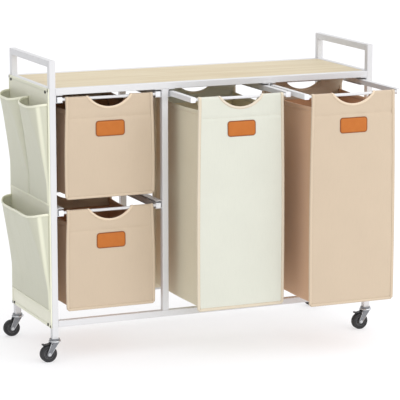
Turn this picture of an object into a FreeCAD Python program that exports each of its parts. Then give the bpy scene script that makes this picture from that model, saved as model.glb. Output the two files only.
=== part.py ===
"""Rolling laundry sorter: square-tube frame, wooden top, four pull-out bags, side organizer, casters.

Working axes: x from the left posts' outer face to the right, y from the front posts' face to the
back, z up from the floor.  export() moves every piece to the part's own origin, on the floor below
the middle of the whole sorter with its bags where they stand at rest.
"""

import FreeCAD, Part
import math
import os
from FreeCAD import Vector

# Frame
FRAME_W = 1036.0
FRAME_D = 358.0
TOP_Z = 803.0
HANDLE_Z = 883.0
POST_FOOT_Z = 69.0
BOTTOM_RAIL_Z = 103.0
MIDDLE_POST_X = 347.0
TUBE = 19.0
TUBE_WALL = 1.2
TUBE_EDGE_R = 2.0
BOARD_T = 18.0
BOARD_GAP = 0.5
BOARD_EDGE_R = 1.0

# Slides: C channels on the frame, square bars on the bags
CHANNEL_H = 23.0
CHANNEL_D = 21.0
CHANNEL_WALL = 1.5
CHANNEL_END_GAP = 1.0
BAR = 15.0
BAR_WALL = 1.2
BAR_EDGE_R = 1.5
BAR_OFFSET = 5.0
SLIDE_CLEAR = 0.3
ROD_R = 4.4
CAP_T = 3.0
PAD_L = 25.0
TRAVEL = 240.0
STOP_T = 3.0

# Bags
BAG_W = 270.0
SHORT_H = 298.0
TALL_H = 628.0
LOWER_DROP = 330.0
FABRIC = 2.0
SLEEVE_GAP = 0.1
FRONT_FACE_Y = -1.0
REAR_FACE_Y = 344.5
CAP_INSET = 1.0
SIDE_HEM_DROP = 33.0
CUTOUT_W = 132.0
CUTOUT_H = 33.5
LABEL_W = 89.0
LABEL_H = 46.0
LABEL_T = 1.5
LABEL_R = 8.0
LABEL_DROP = 96.0
TALL_LEFT_OUT = 158.0
TALL_RIGHT_OUT = 230.0

# Organizer on the left end
PANEL_T = 4.0
PANEL_INSET_Y = 2.0
PANEL_FOOT_Z = 102.0
PANEL_TOP_Z = 802.0
POCKET_FABRIC = 2.0
POCKET_Y0 = 6.0
POCKET_Y1 = 350.0
POCKET_SPLIT_GAP = 2.0
UPPER_POCKET = {"mouth": 760.0, "foot": 465.0, "flare": 50.0}
LOWER_POCKET = {"mouth": 440.0, "foot": 150.0, "flare": 56.0}
POCKET_FOOT_DEPTH = 8.0
POCKET_CORNER_SHARE = 0.5
ORGANIZER_SCREW_Y = (25.0, 333.0)
ORGANIZER_SCREW_Z = (108.0, 792.0)

# Casters
WHEEL_R = 25.0
WHEEL_W = 17.0
HUB_R = 16.0
HUB_BOSS_W = 18.4
TRAIL = 20.0
AXLE_R = 2.5
STEM_R = 4.0
STEM_TOP_Z = 89.0
PLUG_TOP_Z = 90.0
LEG_INNER_Y = 9.5
LEG_T = 2.0
LEG_END_R = 6.5
PLATE_R = 17.0
RACE_R = 14.0
PLATE_Z0 = 60.3
PLATE_Z1 = 62.8
RACE_TOP_Z = 65.7
RIVET_R = 7.0
RIVET_T = 2.5
EAR_R = 9.0
EAR_X = 10.0
LEG_ROOT_HALF_X = 12.0
AXLE_HALF_L = 14.6
AXLE_HEAD_R = 4.5
AXLE_NUT_R = 4.0
AXLE_NUT_T = 2.1
HUB_BOSS_R = 5.5
TYRE_EDGE_R = 3.0
RUN_CLEAR = 0.06
BRAKE_PIVOT_X = -11.0
BRAKE_PIVOT_Z = 55.0
BRAKE_PIN_R = 1.5
BRAKE_EYE_R = 2.4
BRAKE_ARM_T = 2.0
BRAKE_TAB_X = -32.0
BRAKE_TAB_Z = 51.6
BRAKE_TAB_L = 6.0
BRAKE_TAB_T = 4.0
BRAKE_HALF_W = 8.0

# Fasteners
SCREW_R = 2.0
SCREW_HEAD_R = 4.2
SCREW_HEAD_T = 2.2
SCREW_L = 9.0
BOLT_R = 3.0
BOLT_HEAD_R = 4.5
BOLT_L = 34.0
HOLE_CLEAR = 0.1

# Worked out from the above
BAY_MIDDLE_X = (MIDDLE_POST_X + TUBE + FRAME_W - TUBE) / 2
RAIL_Z = TOP_Z - TUBE
CHANNEL_Z = RAIL_Z - CHANNEL_H
BAR_Z = CHANNEL_Z + CHANNEL_WALL + SLIDE_CLEAR
ROD_Z = BAR_Z + BAR / 2
SLEEVE_R = ROD_R + SLEEVE_GAP + FABRIC
BAG_TOP_Z = ROD_Z + SLEEVE_R
FRONT_ROD_Y = FRONT_FACE_Y + SLEEVE_R
REAR_ROD_Y = REAR_FACE_Y - SLEEVE_R
BAR_Y0 = FRONT_FACE_Y + CAP_INSET + CAP_T
BAR_Y1 = REAR_FACE_Y - CAP_T
CUTOUT_R = ((CUTOUT_W / 2) ** 2 + CUTOUT_H ** 2) / (2 * CUTOUT_H)
POST_MIDDLES_Y = (TUBE / 2, FRAME_D - TUBE / 2)
X_MIN = -PANEL_T - LOWER_POCKET["flare"]
X_MAX = FRAME_W - TUBE / 2 + EAR_X + EAR_R
Y_MIN = FRONT_FACE_Y - LABEL_T - TALL_RIGHT_OUT
Y_MAX = POST_MIDDLES_Y[1] + PLATE_R
ORIGIN_SHIFT = Vector(-(X_MIN + X_MAX) / 2, -(Y_MIN + Y_MAX) / 2, 0)

BAYS = {
    "upper": {"x": (TUBE, MIDDLE_POST_X), "drop": 0.0, "height": SHORT_H, "out": 0.0},
    "lower": {"x": (TUBE, MIDDLE_POST_X), "drop": LOWER_DROP, "height": SHORT_H, "out": 0.0},
    "tall_left": {"x": (MIDDLE_POST_X + TUBE, BAY_MIDDLE_X), "drop": 0.0, "height": TALL_H,
                  "out": TALL_LEFT_OUT},
    "tall_right": {"x": (BAY_MIDDLE_X, FRAME_W - TUBE), "drop": 0.0, "height": TALL_H,
                   "out": TALL_RIGHT_OUT},
}
CASTERS = {
    "front_left": (TUBE / 2, POST_MIDDLES_Y[0]),
    "rear_left": (TUBE / 2, POST_MIDDLES_Y[1]),
    "front_right": (FRAME_W - TUBE / 2, POST_MIDDLES_Y[0]),
    "rear_right": (FRAME_W - TUBE / 2, POST_MIDDLES_Y[1]),
}
BRAKED = ("front_left", "front_right")


# Shape helpers

def box(x0, x1, y0, y1, z0, z1):
    return Part.makeBox(x1 - x0, y1 - y0, z1 - z0, Vector(x0, y0, z0))


def rod(radius, start, end):
    run = end - start
    return Part.makeCylinder(radius, run.Length, start, run)


def prism(points, y0, y1):
    """Extrude a closed outline of (x, z) points from y0 to y1."""
    corners = [Vector(x, y0, z) for x, z in points]
    face = Part.Face(Part.makePolygon(corners + corners[:1]))
    return face.extrude(Vector(0, y1 - y0, 0))


def moved(shape, x=0.0, y=0.0, z=0.0):
    copy = shape.copy()
    copy.translate(Vector(x, y, z))
    return copy


def mirrored_x(shape, middle):
    return shape.mirror(Vector(middle, 0, 0), Vector(1, 0, 0))


def rounded_along(shape, direction, radius):
    """Round the edges of a box that run along direction."""
    long_edges = [edge for edge in shape.Edges
                  if abs(edge.tangentAt(edge.FirstParameter).dot(direction)) > 0.9]
    return shape.makeFillet(radius, long_edges)


def tube_x(x0, x1, y, z):
    inner = box(x0, x1, y + TUBE_WALL, y + TUBE - TUBE_WALL, z + TUBE_WALL, z + TUBE - TUBE_WALL)
    outer = box(x0, x1, y, y + TUBE, z, z + TUBE)
    return rounded_along(outer, Vector(1, 0, 0), TUBE_EDGE_R).cut(inner)


def tube_y(y0, y1, x, z, size=TUBE, wall=TUBE_WALL, edge_r=TUBE_EDGE_R):
    inner = box(x + wall, x + size - wall, y0, y1, z + wall, z + size - wall)
    outer = box(x, x + size, y0, y1, z, z + size)
    return rounded_along(outer, Vector(0, 1, 0), edge_r).cut(inner)


def tube_z(z0, z1, x, y, closed_top=False):
    top = z1 - TUBE_WALL if closed_top else z1
    wall = TUBE_WALL
    inner = box(x + wall, x + TUBE - wall, y + wall, y + TUBE - wall, z0, top)
    outer = box(x, x + TUBE, y, y + TUBE, z0, z1)
    return rounded_along(outer, Vector(0, 0, 1), TUBE_EDGE_R).cut(inner)


# Fasteners: each one stands in a clearance hole

def screw(seat, direction):
    """A pan-head screw whose head rests on the point seat and whose shank runs along direction."""
    head = rod(SCREW_HEAD_R, seat - direction * SCREW_HEAD_T, seat)
    return head.fuse(rod(SCREW_R, seat, seat + direction * SCREW_L))


def screw_hole(seat, direction):
    return rod(SCREW_R + HOLE_CLEAR, seat - direction, seat + direction * (SCREW_L + 1))


def bolt(face, direction):
    """A bolt with its head sunk flush in the tube wall at the point face."""
    head = rod(BOLT_HEAD_R, face, face + direction * TUBE_WALL)
    return head.fuse(rod(BOLT_R, face, face + direction * BOLT_L))


def bolt_hole(face, direction):
    head = rod(BOLT_HEAD_R + HOLE_CLEAR, face - direction, face + direction * TUBE_WALL)
    return head.fuse(rod(BOLT_R + HOLE_CLEAR, face, face + direction * BOLT_L))


def channel_screw_seats():
    """Seat point and direction of each screw that holds a slide channel."""
    seats = []
    for bay in BAYS.values():
        z = CHANNEL_Z - bay["drop"] + CHANNEL_H / 2
        for x, side in zip(bay["x"], (-1, 1)):
            for y in POST_MIDDLES_Y:
                if x == BAY_MIDDLE_X:
                    seat = Vector(x - side * CHANNEL_D / 2, y, RAIL_Z - CHANNEL_WALL)
                    seats.append((seat, Vector(0, 0, 1)))
                else:
                    seats.append((Vector(x - side * CHANNEL_WALL, y, z), Vector(side, 0, 0)))
    return seats


def organizer_screw_seats():
    return [(Vector(-PANEL_T, y, z), Vector(1, 0, 0))
            for y in ORGANIZER_SCREW_Y for z in ORGANIZER_SCREW_Z]


def bolt_faces():
    """Head face point and direction of each bolt that ties a long rail to a corner post."""
    heights = (BOTTOM_RAIL_Z + TUBE / 2, RAIL_Z + TUBE / 2)
    faces = []
    for y in POST_MIDDLES_Y:
        for z in heights:
            faces.append((Vector(0, y, z), Vector(1, 0, 0)))
            faces.append((Vector(FRAME_W, y, z), Vector(-1, 0, 0)))
    return faces


def drill(shape):
    """Cut every fastener hole that reaches the shape."""
    holes = [screw_hole(*seat) for seat in channel_screw_seats() + organizer_screw_seats()]
    holes += [bolt_hole(*face) for face in bolt_faces()]
    for hole in holes:
        if shape.BoundBox.intersect(hole.BoundBox):
            shape = shape.cut(hole)
    return shape


def fasteners():
    return {
        "frame_bolts": [bolt(*face) for face in bolt_faces()],
        "channel_screws": [screw(*seat) for seat in channel_screw_seats()],
        "organizer_screws": [screw(*seat) for seat in organizer_screw_seats()],
    }


# Frame

def corner_posts():
    right_x = FRAME_W - TUBE
    rear_y = FRAME_D - TUBE
    places = {
        "post_front_left": (0, 0),
        "post_rear_left": (0, rear_y),
        "post_front_right": (right_x, 0),
        "post_rear_right": (right_x, rear_y),
    }
    return {name: drill(tube_z(POST_FOOT_Z, HANDLE_Z, x, y, closed_top=True))
            for name, (x, y) in places.items()}


def middle_posts():
    rear_y = FRAME_D - TUBE
    foot_z = BOTTOM_RAIL_Z + TUBE
    return {"middle_posts": [drill(tube_z(foot_z, RAIL_Z, MIDDLE_POST_X, y)) for y in (0, rear_y)]}


def long_rails():
    rear_y = FRAME_D - TUBE
    places = {
        "top_rail_front": (0, RAIL_Z),
        "top_rail_rear": (rear_y, RAIL_Z),
        "bottom_rail_front": (0, BOTTOM_RAIL_Z),
        "bottom_rail_rear": (rear_y, BOTTOM_RAIL_Z),
    }
    return {name: drill(tube_x(TUBE, FRAME_W - TUBE, y, z)) for name, (y, z) in places.items()}


def end_tubes():
    ends = (0, FRAME_W - TUBE)
    front_y = TUBE
    rear_y = FRAME_D - TUBE
    bars = [tube_y(front_y, rear_y, x, HANDLE_Z - TUBE) for x in ends]
    rails = [drill(tube_y(front_y, rear_y, x, z)) for x in ends for z in (BOTTOM_RAIL_Z, RAIL_Z)]
    return {"handle_bar_left": bars[0], "handle_bar_right": bars[1], "end_rails": rails}


def top_board():
    gap = BOARD_GAP
    board = box(TUBE + gap, FRAME_W - TUBE - gap, TUBE + gap, FRAME_D - TUBE - gap,
                RAIL_Z, RAIL_Z + BOARD_T)
    top_edges = [edge for edge in board.Edges if edge.BoundBox.ZMin > RAIL_Z + BOARD_T / 2]
    return {"top_board": board.makeFillet(BOARD_EDGE_R, top_edges)}


# Slide channels

def channel(wall_x, drop):
    """The left channel of a bay: web against the wall at wall_x, open to the right, with its stop."""
    z0 = CHANNEL_Z - drop
    y0 = CHANNEL_END_GAP
    y1 = FRAME_D - CHANNEL_END_GAP
    outer = box(wall_x, wall_x + CHANNEL_D, y0, y1, z0, z0 + CHANNEL_H)
    inner = box(wall_x + CHANNEL_WALL, wall_x + CHANNEL_D, y0, y1,
                z0 + CHANNEL_WALL, z0 + CHANNEL_H - CHANNEL_WALL)
    pad_front_y = BAR_Y1 - PAD_L - TRAVEL
    stop_z0 = BAR_Z - drop + BAR + SLIDE_CLEAR
    stop_y1 = pad_front_y - SLIDE_CLEAR
    stop = box(wall_x + BAR_OFFSET, wall_x + BAR_OFFSET + BAR, stop_y1 - STOP_T, stop_y1,
               stop_z0, z0 + CHANNEL_H - CHANNEL_WALL)
    return outer.cut(inner).fuse(stop).removeSplitter()


def channels():
    pairs = {}
    for name, bay in BAYS.items():
        x0, x1 = bay["x"]
        left = channel(x0, bay["drop"])
        right = mirrored_x(left, (x0 + x1) / 2)
        pairs[name + "_channels"] = [drill(left), drill(right)]
    return pairs


# Bags and their slide frames

def slide_frame(bay):
    """Two square bars joined by a front and a rear rod."""
    x0, x1 = bay["x"]
    z = BAR_Z - bay["drop"]
    left_x = x0 + BAR_OFFSET
    left = tube_y(BAR_Y0, BAR_Y1, left_x, z, BAR, BAR_WALL, BAR_EDGE_R)
    right = mirrored_x(left, (x0 + x1) / 2)
    rods = []
    for y in (FRONT_ROD_Y, REAR_ROD_Y):
        start = Vector(left_x + BAR, y, z + BAR / 2)
        end = Vector(x1 - BAR_OFFSET - BAR, y, z + BAR / 2)
        rods.append(rod(ROD_R, start, end))
    return [left, right] + rods


def glides(bay):
    """End caps of the bars, and the pad on top of each bar's rear end that keeps it level."""
    x0, x1 = bay["x"]
    z = BAR_Z - bay["drop"]
    left_x = x0 + BAR_OFFSET
    pad_top = CHANNEL_Z - bay["drop"] + CHANNEL_H - CHANNEL_WALL - SLIDE_CLEAR
    front_cap = box(left_x, left_x + BAR, BAR_Y0 - CAP_T, BAR_Y0, z, z + BAR)
    front_cap = rounded_along(front_cap, Vector(0, 1, 0), BAR_EDGE_R)
    left = [
        front_cap,
        moved(front_cap, y=BAR_Y1 - BAR_Y0 + CAP_T),
        box(left_x, left_x + BAR, BAR_Y1 - PAD_L, BAR_Y1, z + BAR, pad_top),
    ]
    return left + [mirrored_x(piece, (x0 + x1) / 2) for piece in left]


def sleeve(x0, x1, y, z):
    start = Vector(x0, y, z)
    end = Vector(x1, y, z)
    return rod(SLEEVE_R, start, end).cut(rod(ROD_R + SLEEVE_GAP, start, end))


def bag(bay):
    """An open box of cloth whose front and rear panels fold over the rods, with hand cut-outs."""
    middle = sum(bay["x"]) / 2
    x0 = middle - BAG_W / 2
    x1 = middle + BAG_W / 2
    top = BAG_TOP_Z - bay["drop"]
    foot = top - bay["height"]
    rod_z = ROD_Z - bay["drop"]
    hem = rod_z - SIDE_HEM_DROP
    shell = box(x0, x1, FRONT_FACE_Y, REAR_FACE_Y, foot, rod_z)
    hollow = box(x0 + FABRIC, x1 - FABRIC, FRONT_FACE_Y + FABRIC, REAR_FACE_Y - FABRIC,
                 foot + FABRIC, top)
    above_sides = box(x0 - 1, x1 + 1, FRONT_FACE_Y + FABRIC, REAR_FACE_Y - FABRIC, hem, top)
    shell = shell.cut(hollow).cut(above_sides)
    for y in (FRONT_ROD_Y, REAR_ROD_Y):
        bore = rod(ROD_R + SLEEVE_GAP, Vector(x0, y, rod_z), Vector(x1, y, rod_z))
        shell = shell.fuse(sleeve(x0, x1, y, rod_z)).cut(bore)
    centre_z = top - CUTOUT_H + CUTOUT_R
    moon = rod(CUTOUT_R, Vector(middle, FRONT_FACE_Y - 1, centre_z),
               Vector(middle, REAR_FACE_Y + 1, centre_z))
    return shell.cut(moon).removeSplitter()


def label(bay):
    middle = sum(bay["x"]) / 2
    z = BAG_TOP_Z - bay["drop"] - LABEL_DROP
    y1 = FRONT_FACE_Y
    plate = box(middle - LABEL_W / 2, middle + LABEL_W / 2, y1 - LABEL_T, y1,
                z - LABEL_H / 2, z + LABEL_H / 2)
    return rounded_along(plate, Vector(0, 1, 0), LABEL_R)


def bags():
    pieces = {}
    for name, bay in BAYS.items():
        made = {
            name + "_slide_frame": slide_frame(bay),
            name + "_glides": glides(bay),
            name + "_bag": [bag(bay)],
            name + "_label": [label(bay)],
        }
        for node, shapes in made.items():
            pieces[node] = [moved(shape, y=-bay["out"]) for shape in shapes]
    return pieces


# Organizer

def pocket_face(x, y0, y1, depth, z):
    """A flat outline whose straight back lies at x, with a front that stands depth out towards -x."""
    radius = POCKET_CORNER_SHARE * depth
    bend = radius * (1 - math.sqrt(0.5))
    out = x - depth
    back_start = Vector(x, y0, z)
    back_end = Vector(x, y1, z)
    side_start = Vector(out + radius, y0, z)
    side_end = Vector(out + radius, y1, z)
    front_start = Vector(out, y0 + radius, z)
    front_end = Vector(out, y1 - radius, z)
    return Part.Wire([
        Part.makeLine(back_start, side_start),
        Part.Arc(side_start, Vector(out + bend, y0 + bend, z), front_start).toShape(),
        Part.makeLine(front_start, front_end),
        Part.Arc(front_end, Vector(out + bend, y1 - bend, z), side_end).toShape(),
        Part.makeLine(side_end, back_end),
        Part.makeLine(back_end, back_start),
    ])


def pocket(y0, y1, mouth, foot, flare):
    """A flared pocket: open at its mouth and closed by the panel behind, its sides and its foot."""
    back = -PANEL_T
    inset = POCKET_FABRIC
    outer = Part.makeLoft([pocket_face(back, y0, y1, POCKET_FOOT_DEPTH, foot),
                           pocket_face(back, y0, y1, flare, mouth)], True, True)
    inner = Part.makeLoft([
        pocket_face(back, y0 + inset, y1 - inset, POCKET_FOOT_DEPTH - inset, foot + inset),
        pocket_face(back, y0 + inset, y1 - inset, flare - inset, mouth),
    ], True, True)
    return outer.cut(inner)


def organizer():
    panel = box(-PANEL_T, 0, PANEL_INSET_Y, FRAME_D - PANEL_INSET_Y, PANEL_FOOT_Z, PANEL_TOP_Z)
    split_y = (POCKET_Y0 + POCKET_Y1) / 2
    half_gap = POCKET_SPLIT_GAP / 2
    return {
        "organizer_panel": drill(panel),
        "pocket_upper_front": pocket(POCKET_Y0, split_y - half_gap, **UPPER_POCKET),
        "pocket_upper_rear": pocket(split_y + half_gap, POCKET_Y1, **UPPER_POCKET),
        "pocket_lower": pocket(POCKET_Y0, POCKET_Y1, **LOWER_POCKET),
    }


# Casters, drawn about the stem axis at x = 0, y = 0

def tangent_point(x, z, side):
    """Where the line from (x, z) touches the round end of a fork leg, on the side +1 or -1."""
    dx = x + TRAIL
    dz = z - WHEEL_R
    reach = math.hypot(dx, dz)
    angle = math.atan2(dz, dx) + side * math.acos(LEG_END_R / reach)
    return (-TRAIL + LEG_END_R * math.cos(angle), WHEEL_R + LEG_END_R * math.sin(angle))


def fork(braked):
    """Top plate with its race and ear, and two legs that end in round eyes."""
    inside_plate_z = (PLATE_Z0 + PLATE_Z1) / 2
    rear = (-LEG_ROOT_HALF_X, inside_plate_z)
    front = (LEG_ROOT_HALF_X, inside_plate_z)
    outline = [rear, front, tangent_point(*front, -1), (-TRAIL, WHEEL_R), tangent_point(*rear, 1)]
    body = rod(PLATE_R, Vector(0, 0, PLATE_Z0), Vector(0, 0, PLATE_Z1))
    body = body.fuse(rod(EAR_R, Vector(EAR_X, 0, PLATE_Z0), Vector(EAR_X, 0, PLATE_Z1)))
    body = body.fuse(rod(RACE_R, Vector(0, 0, PLATE_Z1), Vector(0, 0, RACE_TOP_Z)))
    for y0 in (LEG_INNER_Y, -LEG_INNER_Y - LEG_T):
        eye = rod(LEG_END_R, Vector(-TRAIL, y0, WHEEL_R), Vector(-TRAIL, y0 + LEG_T, WHEEL_R))
        body = body.fuse(prism(outline, y0, y0 + LEG_T)).fuse(eye)
    half = Vector(0, LEG_INNER_Y + LEG_T + 1, 0)
    centre = Vector(-TRAIL, 0, WHEEL_R)
    body = body.cut(rod(AXLE_R + RUN_CLEAR, centre - half, centre + half))
    body = body.cut(rod(STEM_R + RUN_CLEAR, Vector(0, 0, PLATE_Z0 - 1), Vector(0, 0, RACE_TOP_Z + 1)))
    if braked:
        pivot = Vector(BRAKE_PIVOT_X, 0, BRAKE_PIVOT_Z)
        body = body.cut(rod(BRAKE_PIN_R + RUN_CLEAR, pivot - half, pivot + half))
    return body.removeSplitter()


def stem():
    """Threaded stem with its upper race under the post and a rivet head under the fork plate."""
    rivet_top = PLATE_Z0 - SLIDE_CLEAR
    shaft = rod(STEM_R, Vector(0, 0, rivet_top - RIVET_T), Vector(0, 0, STEM_TOP_Z))
    race = rod(RACE_R + 1, Vector(0, 0, RACE_TOP_Z + SLIDE_CLEAR), Vector(0, 0, POST_FOOT_Z))
    rivet = rod(RIVET_R, Vector(0, 0, rivet_top - RIVET_T), Vector(0, 0, rivet_top))
    return shaft.fuse(race).fuse(rivet).removeSplitter()


def post_plug():
    """Square insert in the foot of a post, bored for the stem."""
    half = TUBE / 2 - TUBE_WALL - HOLE_CLEAR / 2
    block = box(-half, half, -half, half, POST_FOOT_Z, PLUG_TOP_Z)
    return block.cut(rod(STEM_R + RUN_CLEAR, Vector(0, 0, POST_FOOT_Z), Vector(0, 0, PLUG_TOP_Z)))


def axle():
    centre = Vector(-TRAIL, 0, WHEEL_R)
    along = Vector(0, 1, 0)
    leg_face = LEG_INNER_Y + LEG_T
    shaft = rod(AXLE_R, centre - along * AXLE_HALF_L, centre + along * AXLE_HALF_L)
    head = rod(AXLE_HEAD_R, centre - along * AXLE_HALF_L, centre - along * leg_face)
    nut = rod(AXLE_NUT_R, centre + along * leg_face, centre + along * (leg_face + AXLE_NUT_T))
    return shaft.fuse(head).fuse(nut).removeSplitter()


def hub():
    centre = Vector(-TRAIL, 0, WHEEL_R)
    half = Vector(0, WHEEL_W / 2, 0)
    boss = Vector(0, HUB_BOSS_W / 2, 0)
    body = rod(HUB_R, centre - half, centre + half).fuse(rod(HUB_BOSS_R, centre - boss, centre + boss))
    return body.cut(rod(AXLE_R + RUN_CLEAR, centre - boss, centre + boss)).removeSplitter()


def tyre():
    centre = Vector(-TRAIL, 0, WHEEL_R)
    half = Vector(0, WHEEL_W / 2, 0)
    disc = rod(WHEEL_R, centre - half, centre + half)
    rims = [edge for edge in disc.Edges if isinstance(edge.Curve, Part.Circle)]
    return disc.makeFillet(TYRE_EDGE_R, rims).cut(rod(HUB_R, centre - half, centre + half))


def brake():
    """Lever over the tyre: a pin through the fork legs, a flat arm and a thick toe tab."""
    pivot = Vector(BRAKE_PIVOT_X, 0, BRAKE_PIVOT_Z)
    half_pin = Vector(0, LEG_INNER_Y + LEG_T + 0.5, 0)
    half = Vector(0, BRAKE_HALF_W, 0)
    half_t = BRAKE_ARM_T / 2
    tab_foot = BRAKE_TAB_Z - half_t
    tab_top = tab_foot + BRAKE_TAB_T
    side = [
        (BRAKE_PIVOT_X, BRAKE_PIVOT_Z + half_t),
        (BRAKE_PIVOT_X, BRAKE_PIVOT_Z - half_t),
        (BRAKE_TAB_X, tab_foot),
        (BRAKE_TAB_X - BRAKE_TAB_L, tab_foot),
        (BRAKE_TAB_X - BRAKE_TAB_L, tab_top),
        (BRAKE_TAB_X, tab_top),
        (BRAKE_TAB_X + BRAKE_TAB_T / 2, BRAKE_TAB_Z + half_t),
    ]
    lever = prism(side, -BRAKE_HALF_W, BRAKE_HALF_W)
    lever = lever.fuse(rod(BRAKE_EYE_R, pivot - half, pivot + half))
    return lever.fuse(rod(BRAKE_PIN_R, pivot - half_pin, pivot + half_pin)).removeSplitter()


def casters():
    pieces = {
        "caster_stems": [moved(stem(), *place) for place in CASTERS.values()],
        "post_plugs": [moved(post_plug(), *place) for place in CASTERS.values()],
    }
    for name, place in CASTERS.items():
        start = "caster_" + name
        braked = name in BRAKED
        pieces[start + "_fork"] = moved(fork(braked), *place)
        pieces[start + "_axle"] = moved(axle(), *place)
        pieces[start + "_hub"] = moved(hub(), *place)
        pieces[start + "_tyre"] = moved(tyre(), *place)
        if braked:
            pieces[start + "_brake"] = moved(brake(), *place)
    return pieces


def export(pieces):
    os.makedirs("parts", exist_ok=True)
    for name, shape in pieces.items():
        solids = shape if isinstance(shape, list) else [shape]
        placed = [moved(solid, *ORIGIN_SHIFT) for solid in solids]
        whole = Part.makeCompound(placed) if len(placed) > 1 else placed[0]
        whole.exportStep("parts/" + name + ".step")


def build():
    pieces = {}
    for group in (corner_posts, middle_posts, long_rails, end_tubes, top_board, channels, bags,
                  organizer, casters, fasteners):
        pieces.update(group())
    return pieces


if __name__ == "__main__":
    export(build())
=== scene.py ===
"""Looks of the laundry sorter on wheels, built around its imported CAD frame.

Metres, in the row frame: +X to the right seen from the front, +Y to the back, +Z up.  The tubes, slides,
board and casters are the CAD pieces with procedural materials.  The bags, their labels, the organizer,
its pockets and the wheel hubs are built here and stand for their plain CAD solids.  The rolled edges
and the domes of the caster forks are added to the CAD forks.
"""

import math

import bmesh
import bpy
import numpy as np
from mathutils import Euler, Matrix, Vector, noise


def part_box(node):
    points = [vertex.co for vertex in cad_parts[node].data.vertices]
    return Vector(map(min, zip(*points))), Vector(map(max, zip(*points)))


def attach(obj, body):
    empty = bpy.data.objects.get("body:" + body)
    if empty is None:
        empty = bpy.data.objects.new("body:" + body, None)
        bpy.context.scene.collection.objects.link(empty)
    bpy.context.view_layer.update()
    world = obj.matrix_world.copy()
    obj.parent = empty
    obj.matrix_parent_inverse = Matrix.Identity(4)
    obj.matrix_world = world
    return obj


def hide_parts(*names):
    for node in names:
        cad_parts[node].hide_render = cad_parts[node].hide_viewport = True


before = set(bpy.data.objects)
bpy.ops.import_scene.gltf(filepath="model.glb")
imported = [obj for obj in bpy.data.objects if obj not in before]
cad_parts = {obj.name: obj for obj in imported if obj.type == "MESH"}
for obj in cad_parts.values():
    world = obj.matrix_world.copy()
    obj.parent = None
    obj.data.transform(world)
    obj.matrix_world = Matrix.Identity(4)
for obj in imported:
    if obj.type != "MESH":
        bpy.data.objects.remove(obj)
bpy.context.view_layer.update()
MM = 0.001


def points_mm(*points):
    """Pairs given in millimetres."""
    return [(a * MM, b * MM) for a, b in points]


# Camera
CAMERA_PLACE = (-2.5635, -5.9969, 1.6653)
CAMERA_YAW = 0.4043
CAMERA_PITCH = 0.1867
CAMERA_ROLL = -0.0006
CAMERA_LENS = 199.57

# Colours, as sRGB bytes
WHITE_PAINT = (219, 219, 220)
WOOD_LIGHT = (216, 204, 176)
WOOD_DARK = (202, 186, 153)
WOOD_FIBRE = (200, 178, 137)
WOOD_PORE = (172, 144, 101)
TAN = (205, 186, 162)
# Darker, warmer copy of the tan for the gusset and side hems: painted shade of the bag's sides
TAN_SIDE_SHADED = (207, 165, 129)
# Warmer tint for the bag's inner faces: painted shade inside the bag
TAN_INSIDE_WARM_SHADE = (218, 168, 128)
TAN_BINDING = (211, 192, 167)
TAN_TRIM = (230, 210, 184)
PALE_BINDING = (220, 208, 186)
PALE_TRIM = (226, 214, 194)
CREAM = (216, 217, 204)
# Warmer copy of the cream for the gusset and side hems: painted shade of the bag's sides
CREAM_SIDE_SHADED = (216, 207, 180)
# Warmer tint for the bag's inner faces: painted shade inside the bag
CREAM_INSIDE_WARM_SHADE = (236, 224, 192)
ORGANIZER = (240, 239, 220)
# Darker copy of the organizer cloth for the pockets: painted shade
POCKET_SHADED_TONE = (208, 208, 188)
ORGANIZER_BINDING = (240, 240, 218)
LEATHER = (184, 104, 36)
LEATHER_CLOUD = (193, 113, 42)
LEATHER_EDGE = (124, 64, 26)
THREAD_TAN = (196, 170, 138)
THREAD_CREAM = (228, 226, 210)
# The zinc is kept darker as painted dark reflection; its lighter copy is a painted highlight
ZINC = (138, 140, 144)
HIGHLIGHT_ZINC = (206, 208, 211)
DARK_STEEL = (62, 60, 58)
NYLON = (235, 236, 240)
HUB_GREY = (74, 74, 76)
TYRE_BLACK = (34, 34, 36)
BRAKE_BLACK = (26, 26, 28)

# Bag cloth
CLOTH_T = 1.3 * MM
CLOTH_WEAVE = 0.9 * MM
CELL = 11 * MM
FIN = 9 * MM
SEAM_T = 2.8 * MM
FLARE_D = 3 * MM
FLARE_IN = 1.5 * MM
FLARE_RUN = 5.5 * MM
GUSSET_CORNER_R = 5 * MM
SLEEVE_R = 6.5 * MM
SLEEVE_GAP = 0.2 * MM
CUTOUT_HALF_W = 66 * MM
CUTOUT_H = 33.5 * MM
STITCH_DROP = 64 * MM
SIDE_HEM_DROP = 39.5 * MM
HEM_SAG = 5 * MM
HEM_SAG_RUN = 60 * MM
EDGE_BOW = 2.5 * MM
FOOT_SPREAD = 2.2 * MM
TOP_DRAW = 1.2 * MM
FRONT_BULGE = 4 * MM
SIDE_SLACK = 4 * MM
CORNER_R = 7 * MM
FOLD_DEPTH = 1.6 * MM
STITCH_GROOVE = 2.2 * MM
STITCH_GROOVE_W = 3.5 * MM
PUCKER = 1.9 * MM
PUCKER_W = 26 * MM
WELD_D = 0.05 * MM

# Binding tape and stitches; a line is a painted band, darker for shade and lighter for a highlight:
# (from, to, fade, strength, colour as a multiple of the tone), where the first three are distances along
# U
TAPE_W = 8.5 * MM
CUTOUT_TAPE_W = 6.5 * MM
HEM_TAPE_W = 12 * MM
TAPE_T = 1.0 * MM
TAPE_WEAVE = 0.6 * MM
# Painted shade along the tape's inner edge, where it steps onto the cloth
TAPE_INNER_EDGE_SHADE = (0.0, 1.5 * MM, 0.4 * MM, 0.2, 0.3)
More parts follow.
